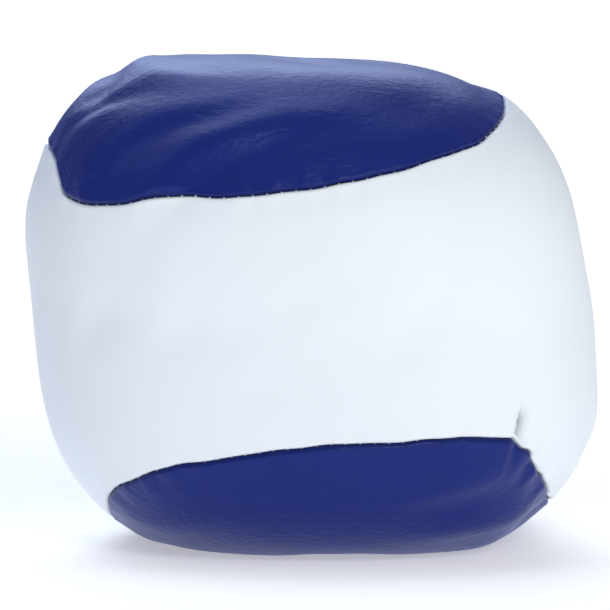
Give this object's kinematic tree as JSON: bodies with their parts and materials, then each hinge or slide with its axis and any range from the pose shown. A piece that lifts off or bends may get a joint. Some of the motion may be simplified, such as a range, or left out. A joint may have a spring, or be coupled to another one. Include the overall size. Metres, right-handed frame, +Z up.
{
  "type": "juggling ball",
  "caption": "Soft stuffed juggling ball: two dumbbell-shaped leathercloth panels joined along one seam, filled with pellets, with a flat settled base.",
  "frame": {"origin": "middle of the bounding box in X and Y, on the surface that the ball's settled flat underside rests on", "axes": "+Z up out of the crown, -Y towards the white panel's waist, +X towards the white lobe at the lower corner that is sewn by hand"},
  "size_m": [0.0642, 0.0624, 0.0556],
  "materials": {
    "white_leathercloth": "satin",
    "blue_leathercloth": "satin",
    "white_thread": "matte",
    "blue_thread": "matte",
    "pellet_plastic": "matte"
  },
  "bodies": {
    "root": {"white_panel": "white_leathercloth", "blue_panel": "blue_leathercloth", "needle_thread": "white_thread", "bobbin_thread": "blue_thread", "closing_thread": "white_thread", "pellet_bed": "pellet_plastic", "pellet_01": "pellet_plastic", "pellet_02": "pellet_plastic", "pellet_03": "pellet_plastic", "pellet_04": "pellet_plastic", "pellet_05": "pellet_plastic", "pellet_06": "pellet_plastic", "pellet_07": "pellet_plastic", "pellet_08": "pellet_plastic", "pellet_09": "pellet_plastic", "pellet_10": "pellet_plastic", "pellet_11": "pellet_plastic", "pellet_12": "pellet_plastic", "pellet_13": "pellet_plastic", "pellet_14": "pellet_plastic", "pellet_15": "pellet_plastic", "pellet_16": "pellet_plastic", "pellet_17": "pellet_plastic", "pellet_18": "pellet_plastic", "pellet_19": "pellet_plastic", "pellet_20": "pellet_plastic", "pellet_21": "pellet_plastic", "pellet_22": "pellet_plastic", "pellet_23": "pellet_plastic", "pellet_24": "pellet_plastic"}
  },
  "joints": []
}
